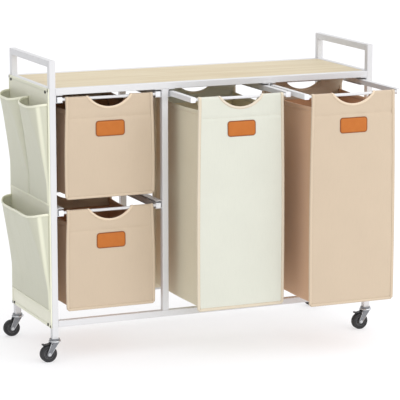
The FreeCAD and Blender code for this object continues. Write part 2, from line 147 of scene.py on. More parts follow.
# Painted shade round the tape's fold over the edge
TAPE_FOLD_SHADE = (8.4 * MM, 10.6 * MM, 0.4 * MM, 0.2, 0.3)
STITCH_L = 3.0 * MM
STITCH_PITCH = 4.4 * MM
STITCH_W = 0.35 * MM
STITCH_IN = 1.3 * MM
NARROW_STITCH_IN = 1.2 * MM
STITCH_SHAPE = ((0, 0.3), (0.25, 1), (0.75, 1), (1, 0.3))

# The cloth of each bag
BAG_SLOTS = {"upper": "tan_fabric", "lower": "tan_fabric", "tall_left": "cream_fabric",
             "tall_right": "tan_fabric"}

# Labels: (inset from the rim, height over the cloth) of each ring
LABEL_R = 9.5 * MM
LABEL_CORNER_STEPS = 6
LABEL_EDGE_BAND = 12 * MM
LABEL_RINGS = points_mm((0, 0), (0, 0.7), (0.4, 1.15), (1.2, 1.3), (2.6, 1.3), (2.9, 1.05), (3.3, 1.05),
                        (3.6, 1.3), (8, 1.4), (16, 1.45))

# Organizer
PANEL_CLOTH_T = 2.2 * MM
PANEL_FACE_IN = 0.9 * MM
PANEL_RIPPLE = 0.5 * MM
PANEL_TAPE_STEPS = 32
POCKET_CLOTH_T = 1.5 * MM
POCKET_CELL = 5 * MM
POCKET_FLAT_SHARE = 0.22
POCKET_REST_D = 3 * MM
POCKET_LIP_DIP = 9 * MM
QUARTER_STEPS = 24
POCKET_FRONT_POWER = 2.6
POCKET_REAR_POWER = 2.2
POCKET_FOOT_LIFT = 0.2 * MM
POCKET_FRONT_REACH = 62 * MM
POCKET_REAR_REACH = {"pocket_upper_front": 95 * MM, "pocket_upper_rear": 80 * MM,
                     "pocket_lower": 120 * MM}
POCKET_CREASE_Y = 30 * MM
POCKET_CREASE_RUN = 30 * MM
# A painted highlight down the crease: a lighter line, given like those of the tape, on every pocket but
# one
POCKET_PAINTED_HIGHLIGHT = (-2.5 * MM, 2.5 * MM, 6.5 * MM, 0.66, 1.45)
POCKET_WITHOUT_HIGHLIGHT = "pocket_upper_rear"
NO_HIGHLIGHT_U_START = 20 * MM
POCKET_CREASE = 2.4 * MM
POCKET_CREASE_W = 7 * MM
POCKET_FOLD = 1.6 * MM
POCKET_TAPE_W = 6 * MM

# Casters; a bead point is (inwards from the leg's edge, out of its face), a dome point (radius, height)
CASTERS = ("front_left", "rear_left", "front_right", "rear_right")
CASTER_TRAIL = 20 * MM
FORK_ROOT_HALF = 12 * MM
FORK_ROOT_DROP = 1.25 * MM
FORK_LEG_Y = 11.5 * MM
LEG_BEAD = points_mm((0.1, -0.3), (0, 0.7), (0.5, 1.2), (1.1, 1.0), (1.7, 0.1), (1.7, -0.3))
RACE_H = 2.9 * MM
DOME_SECTION = points_mm((14.1, 0), (14.1, 1.3), (15.4, 1.6), (17, 1), (18, -0.4), (18.3, -2.4),
                         (17.8, -3), (17.2, -2.4), (17.05, 0))
HUB_BORE_R = 2.56 * MM
HUB_BOSS_R = 5.5 * MM
HUB_RIM_W = 16 * MM
HUB_WEB_T = 3.5 * MM
HUB_RIB_H = 2.5 * MM
HUB_RIBS = 5
HUB_RIB_COSINE = 0.93
HUB_EDGE = 0.15 * MM
METAL_EDGE = 0.25 * MM

# Studio
FLOOR_SIZE = 60.0
FLOOR_TONE = (176, 176, 177)
FLOOR_CLOUD = (178, 178, 179)
FLOOR_GLOW = 1.28
BRIGHT_SIDE = (0.62, -0.5, 0.6)
WORLD_DIM = 0.1
WORLD_BRIGHT = 1.65
WORLD_TONE = (254, 254, 255)
KEY_PLACE = (3.0, -3.6, 2.4)
KEY_AIM = (0, 0, 0.45)
KEY_SIZE = 1.2
KEY_POWER = 18


# Shaders

def linear(colour):
    """An sRGB byte colour as the linear RGBA that a shader takes."""
    parts = [c / 255 for c in colour]
    return [p / 12.92 if p <= 0.04045 else ((p + 0.055) / 1.055) ** 2.4 for p in parts] + [1.0]


def toned(colour, times, plus=0.0):
    """A linear colour made darker or lighter."""
    return [min(1.0, times * c + plus) for c in colour[:3]] + [1.0]


class Shade:
    """One material's node tree around its Principled shader."""

    def __init__(self, name, roughness, metallic=0.0, sheen=0.0, specular=0.5):
        self.material = bpy.data.materials.new(name)
        self.material.use_nodes = True
        self.tree = self.material.node_tree
        self.shader = self.tree.nodes["Principled BSDF"]
        self.shader.inputs["Roughness"].default_value = roughness
        self.shader.inputs["Metallic"].default_value = metallic
        self.shader.inputs["Sheen Weight"].default_value = sheen
        self.shader.inputs["Specular IOR Level"].default_value = specular
        self.height = None

    def node(self, kind, inputs=None, **settings):
        made = self.tree.nodes.new("ShaderNode" + kind)
        for key, value in settings.items():
            setattr(made, key, value)
        for key, value in (inputs or {}).items():
            self.feed(made.inputs[key], value)
        return made

    def feed(self, socket, value):
        """Link a socket to another node's output, or set its value."""
        if isinstance(value, bpy.types.NodeSocket):
            self.tree.links.new(value, socket)
        else:
            socket.default_value = value

    def place(self, stretch=(1, 1, 1), kind="Object"):
        """Surface coordinates in metres, stretched."""
        source = self.node("TexCoord").outputs[kind]
        return self.node("Mapping", {"Vector": source, "Scale": stretch}).outputs["Vector"]

    def noise(self, scale, detail=2.0, stretch=(1, 1, 1), distortion=0.0, kind="Object"):
        inputs = {"Vector": self.place(stretch, kind), "Scale": scale, "Detail": detail,
                  "Distortion": distortion}
        return self.node("TexNoise", inputs).outputs["Fac"]

    def math(self, operation, a, b=0.0):
        return self.node("Math", {0: a, 1: b}, operation=operation).outputs[0]

    def spread(self, value, low, high, to_low, to_high):
        inputs = {"Value": value, "From Min": low, "From Max": high, "To Min": to_low, "To Max": to_high}
        return self.node("MapRange", inputs).outputs["Result"]

    def mix(self, factor, a, b):
        mixed = self.node("Mix", {"Factor": factor}, data_type="RGBA")
        self.feed(mixed.inputs[6], a)
        self.feed(mixed.inputs[7], b)
        return mixed.outputs[2]

    def colour(self, value):
        self.feed(self.shader.inputs["Base Color"], value)

    def roughness(self, value):
        self.feed(self.shader.inputs["Roughness"], value)

    def gloss(self, scale, detail, low, high):
        """Uneven roughness between about low and high."""
        self.roughness(self.spread(self.noise(scale, detail), 0.3, 0.7, low, high))

    def bump(self, height, strength, distance):
        """Add a layer of relief; each layer builds on the one before."""
        inputs = {"Height": height, "Strength": strength, "Distance": distance}
        if self.height is not None:
            inputs["Normal"] = self.height
        self.height = self.node("Bump", inputs).outputs["Normal"]
        self.feed(self.shader.inputs["Normal"], self.height)


def powder_coat():
    """Satin powder coat: fine orange peel and a faint variation in tone and gloss."""
    shade = Shade("powder_coat", 0.4)
    tone = linear(WHITE_PAINT)
    shade.colour(shade.mix(shade.noise(9, 3), toned(tone, 0.95), tone))
    shade.gloss(30, 4, 0.34, 0.48)
    shade.bump(shade.noise(900, 2), 0.25, 0.12 * MM)
    return shade.material


def wood():
    """Pale maple: long soft figure, fine fibres and short dark pores that all run along X."""
    shade = Shade("pale_maple", 0.5)
    figure = shade.noise(5, 5, (0.35, 5, 5), 0.9)
    fibre = shade.noise(40, 6, (0.12, 9, 9), 0.3)
    pores = shade.noise(160, 2, (0.06, 3, 3))
    base = shade.mix(shade.spread(figure, 0.35, 0.68, 0, 1), linear(WOOD_LIGHT), linear(WOOD_DARK))
    grained = shade.mix(shade.spread(fibre, 0.42, 0.7, 0, 0.45), base, linear(WOOD_FIBRE))
    shade.colour(shade.mix(shade.spread(pores, 0.63, 0.75, 0, 0.35), grained, linear(WOOD_PORE)))
    shade.roughness(shade.spread(fibre, 0.3, 0.7, 0.42, 0.6))
    shade.bump(fibre, 0.12, 0.2 * MM)
    shade.bump(pores, 0.1, 0.15 * MM)
    return shade.material


def woven(name, tone, roughness=0.72, sheen=0.25, pitch=CLOTH_WEAVE, painted_lines=()):
    """Plain-weave cloth: over-and-under threads with painted shade in the weave's hollows, slubs and
    soft mottling.

    Each of painted_lines is a band along V, given as for the binding tape, that paints shade where it is
    darker and a highlight where it is lighter.
    """
    shade = Shade(name, roughness, sheen=sheen, specular=0.35)
    flat = shade.place(kind="UV")
    split = shade.node("SeparateXYZ", {"Vector": flat})
    turn = math.pi / pitch
    warp = shade.math("SINE", shade.math("MULTIPLY", split.outputs["X"], turn))
    weft = shade.math("SINE", shade.math("MULTIPLY", split.outputs["Y"], turn))
    weave = shade.math("MULTIPLY", warp, weft)
    slub = shade.noise(260, 2, (1, 0.12, 1), kind="UV")
    cloud = shade.noise(7, 4, kind="UV")
    light = linear(tone)
    dark = toned(light, 0.86)
    mottled = shade.mix(shade.spread(cloud, 0.3, 0.7, 0, 0.3), light, dark)
    # Painted shade: darker where the weave's bump is lowest
    weave_hollow_shaded = shade.mix(shade.spread(weave, -1, 1, 0.22, 0), mottled, toned(light, 0.72))
    cloth = shade.mix(shade.spread(slub, 0.5, 0.8, 0, 0.25), weave_hollow_shaded, dark)
    # Painted bands of shade and highlight along V
    for start, end, fade, strength, times in painted_lines:
        off = shade.math("ABSOLUTE", shade.math("SUBTRACT", split.outputs["X"], (start + end) / 2))
        line = shade.spread(off, (end - start) / 2, (end - start) / 2 + fade, strength, 0)
        cloth = shade.mix(line, cloth, toned(light, times))
    shade.colour(cloth)
    shade.bump(shade.noise(24, 3, kind="UV"), 0.25, 1.2 * MM)
    shade.bump(weave, 0.5, 0.12 * MM)
    shade.bump(slub, 0.2, 0.1 * MM)
    return shade.material


def thread(name, tone):
    """Twisted sewing thread, a little uneven in tone."""
    shade = Shade(name, 0.6, sheen=0.2)
    light = linear(tone)
    shade.colour(shade.mix(shade.noise(500, 2), light, toned(light, 0.8)))
    shade.bump(shade.noise(2500, 2), 0.4, 0.1 * MM)
    return shade.material


def leather():
    """Smooth leatherette, pebbled a little, darker and rougher towards its cut edge."""
    shade = Shade("label_leather", 0.5, specular=0.3)
    rim = shade.node("SeparateXYZ", {"Vector": shade.place(kind="UV")}).outputs["X"]
    cloud = shade.mix(shade.spread(shade.noise(60, 4), 0.3, 0.7, 0, 0.45), linear(LEATHER),
                      linear(LEATHER_CLOUD))
    shade.colour(shade.mix(shade.spread(rim, 0.68, 0.9, 0, 0.95), cloud, linear(LEATHER_EDGE)))
    pebble = shade.node("TexVoronoi", {"Vector": shade.place(), "Scale": 900.0}).outputs["Distance"]
    shade.bump(pebble, 0.3, 0.15 * MM)
    shade.gloss(220, 3, 0.42, 0.6)
    return shade.material


def metal(name, tone, roughness):
    """Plated steel: spangled tone, faint rolling lines and uneven gloss."""
    shade = Shade(name, roughness, metallic=0.9)
    light = linear(tone)
    spangle = shade.node("TexVoronoi", {"Vector": shade.place(), "Scale": 420.0}).outputs["Color"]
    speck = shade.node("RGBToBW", {"Color": spangle}).outputs["Val"]
    shade.colour(shade.mix(shade.spread(speck, 0.1, 0.9, 0, 0.5), light, toned(light, 0.72)))
    shade.gloss(180, 4, roughness - 0.08, roughness + 0.12)
    shade.bump(shade.noise(700, 3, (1, 1, 0.15)), 0.15, 0.1 * MM)
    return shade.material


def moulded(name, tone, roughness, grain=1400):
    """Moulded plastic or rubber: fine pitting and a slightly dusty tone."""
    shade = Shade(name, roughness)
    light = linear(tone)
    dust = toned(light, 1.5, 0.01)
    shade.colour(shade.mix(shade.spread(shade.noise(70, 5), 0.45, 0.8, 0, 0.5), light, dust))
    shade.gloss(90, 3, roughness - 0.06, roughness + 0.1)
    shade.bump(shade.noise(grain, 3), 0.3, 0.12 * MM)
    return shade.material


MATERIALS = {
    "white_frame": powder_coat(),
    "wood_board": wood(),
    "tan_fabric": woven("tan_cloth", TAN),
    "cream_fabric": woven("cream_cloth", CREAM),
    "organizer_fabric": woven("organizer_cloth", ORGANIZER, 0.5, 0.15),
    "label_leather": leather(),
    "zinc_hardware": metal("zinc_plate", ZINC, 0.3),
    "dark_screws": metal("black_oxide", DARK_STEEL, 0.4),
    "white_plastic": moulded("white_nylon", NYLON, 0.42),
    "wheel_hub": moulded("hub_plastic", HUB_GREY, 0.45),
    "wheel_tyre": moulded("tyre_rubber", TYRE_BLACK, 0.62, 900),
    "brake_plastic": moulded("brake_plastic", BRAKE_BLACK, 0.4),
}
# The gussets and side hems take these copies of the cloth, which paint the shade on the bag's sides
SHADED_SIDE_CLOTH = {
    "tan_fabric": woven("tan_side_painted_shade", TAN_SIDE_SHADED),
    "cream_fabric": woven("cream_side_painted_shade", CREAM_SIDE_SHADED),
}
# Inner faces of the bags: warm tints that paint the shade inside them
INSIDE_WARM_SHADES = {
    "tan_fabric": woven("tan_inside_painted_shade", TAN_INSIDE_WARM_SHADE, 0.6),
    "cream_fabric": woven("cream_inside_painted_shade", CREAM_INSIDE_WARM_SHADE, 0.6),
}
TRIM_EDGE_SHADES = (TAPE_INNER_EDGE_SHADE,)
TRIMS = {
    "tan_fabric": woven("tan_trim", TAN_TRIM, 0.6, 0.3, TAPE_WEAVE, TRIM_EDGE_SHADES),
    "cream_fabric": woven("pale_trim", PALE_TRIM, 0.6, 0.3, TAPE_WEAVE, TRIM_EDGE_SHADES),
}
BINDING_EDGE_SHADES = (TAPE_INNER_EDGE_SHADE, TAPE_FOLD_SHADE)
BINDINGS = {
    "tan_fabric": woven("tan_binding", TAN_BINDING, 0.65, 0.3, TAPE_WEAVE, BINDING_EDGE_SHADES),
    "cream_fabric": woven("pale_binding", PALE_BINDING, 0.65, 0.3, TAPE_WEAVE, BINDING_EDGE_SHADES),
    "organizer_fabric": woven("organizer_binding", ORGANIZER_BINDING, 0.5, 0.2, TAPE_WEAVE, TRIM_EDGE_SHADES),
}
# Pocket cloth: the darker copy as painted shade, with the painted highlight line down the crease
POCKET_CLOTH_SHADE_AND_HIGHLIGHT = woven("pocket_cloth", POCKET_SHADED_TONE, 0.55, 0.15, painted_lines=(POCKET_PAINTED_HIGHLIGHT,))
# Lighter copy of the zinc: painted highlight on the fork's edges, its domes and the axles
HIGHLIGHT_METAL = metal("zinc_painted_highlight", HIGHLIGHT_ZINC, 0.26)
THREADS = {
    "tan_fabric": thread("tan_thread", THREAD_TAN),
    "organizer_fabric": thread("cream_thread", THREAD_CREAM),
}


# Mesh helpers

def add_object(name, data):
    """A new object in the scene."""
    made = bpy.data.objects.new(name, data)
    bpy.context.scene.collection.objects.link(made)
    return made


def new_piece(name, shape, material, body):
    """A mesh object that rides on a body; shape is (verts, faces, one (u, v) in metres per vertex)."""
    verts, faces, uvs = shape
    mesh = bpy.data.meshes.new(name)
    mesh.from_pydata([tuple(v) for v in verts], [], faces)
    mesh.materials.append(material)
    layer = mesh.uv_layers.new(name="cloth")
    for loop in mesh.loops:
        layer.data[loop.index].uv = uvs[loop.vertex_index]
    mesh.polygons.foreach_set("use_smooth", [True] * len(mesh.polygons))
    mesh.update()
    piece = add_object(name, mesh)
    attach(piece, body)
    return piece


def grid_faces(rows, columns):
    """Quads of a rows by columns grid of vertices."""
    faces = []
    for r in range(rows - 1):
        for c in range(columns - 1):
            a = r * columns + c
            faces.append((a, a + 1, a + columns + 1, a + columns))
    return faces


def tube_faces(rings, count):
    """Quads between rings of count vertices each, and a cap on the first ring and on the last."""
    faces = []
    for k in range(rings - 1):
        for i in range(count):
            j = (i + 1) % count
            faces.append((k * count + i, k * count + j, (k + 1) * count + j, (k + 1) * count + i))
    faces.append(tuple(reversed(range(count))))
    faces.append(tuple(range((rings - 1) * count, rings * count)))
    return faces


def merge(parts):
    """Join (verts, faces, uvs) parts into one."""
    verts, faces, uvs = [], [], []
    for part_verts, part_faces, part_uvs in parts:
        start = len(verts)
        verts += part_verts
        faces += [tuple(i + start for i in face) for face in part_faces]
        uvs += part_uvs
    return verts, faces, uvs


def face_outwards(piece):
    """Turn the faces of closed shapes so that their normals point out."""
    work = bmesh.new()
    work.from_mesh(piece.data)
    bmesh.ops.recalc_face_normals(work, faces=work.faces)
    work.to_mesh(piece.data)
    work.free()


def weld(piece):
    """Join the vertices that two parts of one piece share."""
    modifier = piece.modifiers.new("weld", "WELD")
    modifier.merge_threshold = WELD_D


def break_edges(piece, width, segments):
    """Bevel the sharp edges."""
    bevel = piece.modifiers.new("edges", "BEVEL")
    bevel.width = width
    bevel.segments = segments
    bevel.limit_method = "ANGLE"


def thicken(piece, thickness):
    """Round the cloth's grid off and give it its thickness, inwards from its outer face."""
    subsurf = piece.modifiers.new("round", "SUBSURF")
    subsurf.levels = 1
    subsurf.render_levels = 1
    solid = piece.modifiers.new("thickness", "SOLIDIFY")
    solid.thickness = thickness
    solid.offset = -1
    solid.use_even_offset = True


def sweep(section, frames):
    """Sweep a closed section of (a, b) points along frames of (point, a axis, b axis)."""
    verts, uvs = [], []
    run = 0.0
    around = [0.0]
    for (a0, b0), (a1, b1) in zip(section, section[1:] + section[:1]):
        around.append(around[-1] + math.hypot(a1 - a0, b1 - b0))
    for k, (point, a_axis, b_axis) in enumerate(frames):
        if k:
            run += (point - frames[k - 1][0]).length
        for i, (a, b) in enumerate(section):
            verts.append(point + a_axis * a + b_axis * b)
            uvs.append((around[i], run))
    return verts, tube_faces(len(frames), len(section)), uvs


def tape_section(width, back_width, fin_t):
    """A tape folded over an edge: a runs in over the cloth, b out of its face."""
    t = TAPE_T
    soft = 0.35 * t
    return [
        (width, 0), (width, 0.6 * t), (width - soft, t), (0, t), (-0.7 * t, 0.6 * t), (-t, -0.4 * t),
        (-t, -fin_t + 0.4 * t), (-0.7 * t, -fin_t - 0.6 * t), (0, -fin_t - t),
        (back_width - soft, -fin_t - t), (back_width, -fin_t - 0.6 * t), (back_width, -fin_t),
        (0, -fin_t), (0, 0),
    ]


def resample(frames, step):
    """Frames spaced evenly along the same path."""
    lengths = [0.0]
    for one, two in zip(frames, frames[1:]):
        lengths.append(lengths[-1] + (two[0] - one[0]).length)
    count = max(2, round(lengths[-1] / step))
    spaced = []
    for k in range(count + 1):
        at = lengths[-1] * k / count
        i = min(max(np.searchsorted(lengths, at) - 1, 0), len(frames) - 2)
        share = (at - lengths[i]) / max(lengths[i + 1] - lengths[i], 1e-9)
        spaced.append(tuple(a.lerp(b, share) for a, b in zip(frames[i], frames[i + 1])))
    return spaced


def stitches(path, inset, lift):
    """A stitch at each step of a path of frames, inset over the cloth and lifted from its face."""
    frames = resample(path, STITCH_PITCH)
    parts = []
    for one, two in zip(frames, frames[1:]):
        start = one[0] + one[1] * inset + one[2] * lift
        along = two[0] + two[1] * inset + two[2] * lift - start
        if along.length < 1e-6:
            continue
        along = along.normalized()
        rings = []
        for at, size in STITCH_SHAPE:
            centre = start + along * (at * STITCH_L)
            half = size * STITCH_W
            dip = -0.5 * STITCH_W if size < 1 else 0
            for a, b in ((1, 0), (0, 1), (-1, 0), (0, -1)):
                rings.append(centre + one[1] * (a * half) + one[2] * (b * half + dip))
        parts.append((rings, tube_faces(len(STITCH_SHAPE), 4), [(0.0, 0.0)] * len(rings)))
    return merge(parts)


# Bags

class Bag:
    """Sizes of one bag, from its CAD solid, and the cloth field that shapes it."""

    def __init__(self, name, slot):
        self.name = name
        self.slot = slot
        self.body = name + "_drawer"
        low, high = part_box(name + "_bag")
        self.middle = (low.x + high.x) / 2
        self.half_w = (high.x - low.x) / 2
        self.front_y = low.y
        self.rear_y = high.y
        self.foot = low.z
        self.top = high.z
        self.rod_z = self.top - SLEEVE_R
        self.hem = self.top - SIDE_HEM_DROP
        self.cut_r = (CUTOUT_HALF_W ** 2 + CUTOUT_H ** 2) / (2 * CUTOUT_H)
        self.cut_low = self.top - CUTOUT_H
        self.cut_centre = self.cut_low + self.cut_r
        self.seed = len(name) * 3.7 + self.middle * 11

    def up_share(self, z):
        """Height z as a share of the way from the foot to the bottom of the cut-out."""
        return min(max((z - self.foot) / (self.cut_low - self.foot), 0.0), 1.0)

    def cut_edge(self, z):
        """Half width of the hand cut-out at height z."""
        if z <= self.cut_low + 1e-9:
            return 0.0
        return math.sqrt(max(self.cut_r ** 2 - (self.cut_centre - z) ** 2, 0.0))

    def bow(self, z):
        """How far the sides stand out at height z: spread at the foot, drawn in at the rods."""
        t = self.up_share(z)
        return EDGE_BOW * math.sin(math.pi * t) ** 0.8 + FOOT_SPREAD * (1 - t) - TOP_DRAW * t

    def bulge(self, x, z, rear):
        """How far the front or rear panel stands out at (x, z), with its soft folds."""
        t = self.up_share(z)
        across = 1 - (x / self.half_w) ** 2
        belly = FRONT_BULGE * across * math.sin(math.pi * t) ** 0.7
        side = 40.0 if rear else 0.0
        folds = noise.noise(Vector((x * 14 + side, z * 3, self.seed)))
        folds += 0.6 * noise.noise(Vector((x * 5 + side, z * 17, self.seed + 5)))
        inside = max(0.0, min(1.0, across * 6))
        held = inside * math.sin(math.pi * min(t, 0.97)) ** 0.5
        drop = self.top - STITCH_DROP - z
        groove = STITCH_GROOVE * math.exp(-(drop / STITCH_GROOVE_W) ** 2)
        pucker = noise.noise(Vector((x * 30 + side, z * 55, self.seed + 3)))
        pucker *= PUCKER * math.exp(-(drop / PUCKER_W) ** 2)
        return belly + FOLD_DEPTH * folds * held + (pucker - groove) * inside

    def panel_profile(self):
        """(inset, z, half cut-out width, length along the cloth) up the panel, over the rod and down."""
        stitched = self.top - STITCH_DROP
        lower = max(6, round((stitched - self.foot) / CELL))
        rows = [(0.0, self.foot + (stitched - self.foot) * k / lower) for k in range(lower)]
        rows += [(0.0, stitched + lift) for lift in (-4 * MM, 0, 4 * MM, 12 * MM)]
        rows += [(0.0, self.hem), (0.0, self.cut_low)]
        last = math.acos((self.cut_centre - self.rod_z) / self.cut_r)
        arc = [self.cut_centre - self.cut_r * math.cos(last * k / 7) for k in range(1, 8)]
        rows += [(0.0, z) for z in arc]
        for k in range(1, 9):
            turn = math.pi * k / 8
            rows.append((SLEEVE_R * (1 - math.cos(turn)), self.rod_z + SLEEVE_R * math.sin(turn)))
        inner = arc[-2::-1] + [self.cut_low, self.hem - 8 * MM, stitched + 6 * MM, stitched]
        touch = CLOTH_T + SLEEVE_GAP
        for z in inner:
            share = (z - self.cut_low + 4 * MM) / (self.rod_z - self.cut_low + 4 * MM)
            share = min(max(share, 0.0), 1.0)
            rows.append((touch + (2 * SLEEVE_R - touch) * share ** 1.5, z))
        profile = []
        run = 0.0
        for k, (inset, z) in enumerate(rows):
            if k:
                run += math.hypot(inset - rows[k - 1][0], z - rows[k - 1][1])
            profile.append((inset, z, self.cut_edge(z), run))
        return profile

    def corner_pull(self, x, z):
        """Round the panel's bottom corners: move a point in (x, z) towards the corner arc."""
        dx = abs(x) - (self.half_w - CORNER_R)
        dz = (self.foot + CORNER_R) - z
        if dx <= 0 or dz <= 0:
            return x, z
        reach = max(dx, dz)
        scale = reach / math.hypot(dx, dz)
        x = math.copysign(self.half_w - CORNER_R + dx * scale, x)
        return x, self.foot + CORNER_R - dz * scale

    def panel_point(self, x, inset, z, rear):
        """Place of the cloth at x from the panel's middle, inset from its face, at height z."""
        x, z = self.corner_pull(x, z)
        out = self.bulge(x, z, rear) if inset <= 4 * MM else 0.0
        wide = x * (1 + self.bow(z) / self.half_w)
        if rear:
            return Vector((self.middle - wide, self.rear_y - inset + out, z))
        return Vector((self.middle + wide, self.front_y + inset - out, z))

    def gusset_path(self):
        """(x, z, outward x, outward z) down the left side, under the bottom and up the right side."""
        half = self.half_w - FIN
        foot = self.foot + FIN
        r = GUSSET_CORNER_R
        up = max(6, round((self.hem - foot - r) / CELL))
        over = max(6, round((2 * (half - r)) / CELL))
        path = [(-half, foot + r + (self.hem - foot - r) * (1 - k / up), -1.0, 0.0) for k in range(up)]
        for k in range(5):
            turn = math.pi / 2 * k / 4
            path.append((-half + r - r * math.cos(turn), foot + r - r * math.sin(turn),
                         -math.cos(turn), -math.sin(turn)))
        path += [(-half + r + 2 * (half - r) * k / over, foot, 0.0, -1.0) for k in range(1, over)]
        return path + [(-x, z, -nx, nz) for x, z, nx, nz in reversed(path[:up + 5])]

    def gusset_depths(self):
        """Distance behind the front face of each column across the gusset."""
        depth = self.rear_y - self.front_y
        ends = [SEAM_T + FLARE_RUN * (k / 4) ** 2 for k in range(5)]
        inner = max(6, round((depth - 2 * ends[-1]) / CELL))
        middle = [ends[-1] + (depth - 2 * ends[-1]) * k / inner for k in range(1, inner)]
        return ends + middle + [depth - e for e in reversed(ends)]

    def gusset_point(self, x, z, nx, nz, d):
        """Place of the cloth at (x, z) of the gusset's path, d behind the front face."""
        depth = self.rear_y - self.front_y
        near = min(d, depth - d)
        flare = (FIN - FLARE_IN) * max(0.0, 1 - (near - SEAM_T) / FLARE_D) ** 1.6
        t = self.up_share(z)
        across = math.sin(math.pi * d / depth)
        slack = -SIDE_SLACK * across * math.sin(math.pi * max(t, 0.03)) * abs(nx)
        sag = 0.6 * SIDE_SLACK * across * abs(nz)
        folds = noise.noise(Vector((d * 13, z * 3.5 + x * 9, self.seed + 9))) * across
        out = flare + slack + sag + 1.3 * FOLD_DEPTH * folds + self.bow(z) * abs(nx)
        sink = HEM_SAG * across * max(0.0, (z - self.hem) / HEM_SAG_RUN + 1) if abs(nx) > 0.9 else 0.0
        return Vector((self.middle + x + nx * out, self.front_y + d, z + nz * out - sink))


def tint_inside_faces(piece, outer, inside_shade):
    """Outer materials first, then the warm tint of painted shade for the faces that the thickness adds
    inside.
    """
    piece.data.materials.clear()
    for material in (*outer, *[inside_shade] * len(outer)):
        piece.data.materials.append(material)
    piece.modifiers["thickness"].material_offset = len(outer)


def bag_panel(bag, rear):
    """Front or rear panel with its sleeve over the rod, as a left and a right half."""
    profile = bag.panel_profile()
    half_columns = max(5, round(bag.half_w / CELL))
    parts = []
    for side in (-1, 1):
        verts, uvs = [], []
        for inset, z, edge, run in profile:
            for c in range(half_columns + 1):
                share = c / half_columns
                share = share if side < 0 else 1 - share
                x = side * (bag.half_w - share * (bag.half_w - edge))
                verts.append(bag.panel_point(x, inset, z, rear))
                uvs.append((x, run))
        parts.append((verts, grid_faces(len(profile), half_columns + 1), uvs))
    return parts


def bag_gusset(bag):
    """The strip that makes both sides and the bottom."""
    depths = bag.gusset_depths()
    verts, uvs = [], []
    run = 0.0
    path = bag.gusset_path()
    for k, (x, z, nx, nz) in enumerate(path):
        if k:
            run += math.hypot(x - path[k - 1][0], z - path[k - 1][1])
        for d in depths:
            verts.append(bag.gusset_point(x, z, nx, nz, d))
            uvs.append((d, run))
    return verts, grid_faces(len(path), len(depths)), uvs


def edge_frames(bag, rear):
    """Frames round a panel's bound edge: down one side, along the foot and up the other."""
    profile = bag.panel_profile()
    top = next(k for k, row in enumerate(profile) if row[0] >= 1.6 * SLEEVE_R)
    face = Vector((0, 1 if rear else -1, 0))
    across = Vector((-1 if rear else 1, 0, 0))
    up = Vector((0, 0, 1))
    side = []
    for inset, z, _, _ in reversed(profile[:top]):
        if z < bag.foot + CORNER_R:
            continue
        lean = min(inset / SLEEVE_R, 1.6)
        normal = (face * (1 - lean) + up * math.sqrt(max(0.0, lean * (2 - lean)))).normalized()
        side.append((bag.panel_point(-bag.half_w, inset, z, rear), across, normal))
    corner = []
    for k in range(1, 6):
        turn = math.pi / 2 * k / 6
        x = -bag.half_w + CORNER_R * (1 - math.cos(turn))
        z = bag.foot + CORNER_R * (1 - math.sin(turn))
        inward = across * math.cos(turn) + up * math.sin(turn)
        corner.append((bag.panel_point(x, 0, z, rear), inward, face))
    steps = max(4, round(2 * (bag.half_w - CORNER_R) / CELL))
    bottom = []
    for k in range(steps + 1):
        x = (-bag.half_w + CORNER_R) + 2 * (bag.half_w - CORNER_R) * k / steps
        bottom.append((bag.panel_point(x, 0, bag.foot, rear), up, face))
    mirror = []
    for point, inward, normal in reversed(side + corner):
        flipped = Vector((2 * bag.middle - point.x, point.y, point.z))
        mirror.append((flipped, Vector((-inward.x, inward.y, inward.z)), normal))
    return side + corner + bottom + mirror


def cutout_frames(bag, rear):
    """Frames along the hand cut-out, from the top of the sleeve down and up again."""
    face = Vector((0, 1 if rear else -1, 0))
    flip = -1 if rear else 1
    last = math.acos((bag.cut_centre - bag.rod_z) / bag.cut_r)
    frames = []
    for k in range(-12, 13):
        turn = last * k / 12
        x = bag.cut_r * math.sin(turn)
        z = bag.cut_centre - bag.cut_r * math.cos(turn)
        away = Vector((flip * math.sin(turn), 0, -math.cos(turn)))
        frames.append((bag.panel_point(x, 0, z, rear), away, face))
    for k in range(1, 5):
        turn = math.pi / 2 * k / 4
        z = bag.rod_z + SLEEVE_R * math.sin(turn)
        inset = SLEEVE_R * (1 - math.cos(turn))
        normal = face * math.cos(turn) + Vector((0, 0, math.sin(turn)))
        for side in (-1, 1):
            point = bag.panel_point(side * bag.cut_edge(z), inset, z, rear)
            away = Vector((side * flip, 0, 0))
            frames.insert(0 if side < 0 else len(frames), (point, away, normal))
    return frames[::-1]


def side_hem_frames(bag, side):
    """Frames along the top hem of the left (-1) or right (1) side of the gusset."""
    x, z, nx, nz = bag.gusset_path()[0 if side < 0 else -1]
    frames = []
    for d in bag.gusset_depths()[3:-3]:
        frames.append((bag.gusset_point(x, z, nx, nz, d), Vector((0, 0, -1)), Vector((side, 0, 0))))
    return frames if side < 0 else frames[::-1]


def stitch_row_frames(bag, rear):
    """Frames along the row of stitches that closes the sleeve hem."""
    z = bag.top - STITCH_DROP + 2 * MM
    face = Vector((0, 1 if rear else -1, 0))
    half = bag.half_w - TAPE_W - 2 * MM
    steps = 24
    return [(bag.panel_point(-half + 2 * half * k / steps, 0, z, rear), Vector((0, 0, 1)), face)
            for k in range(steps + 1)]


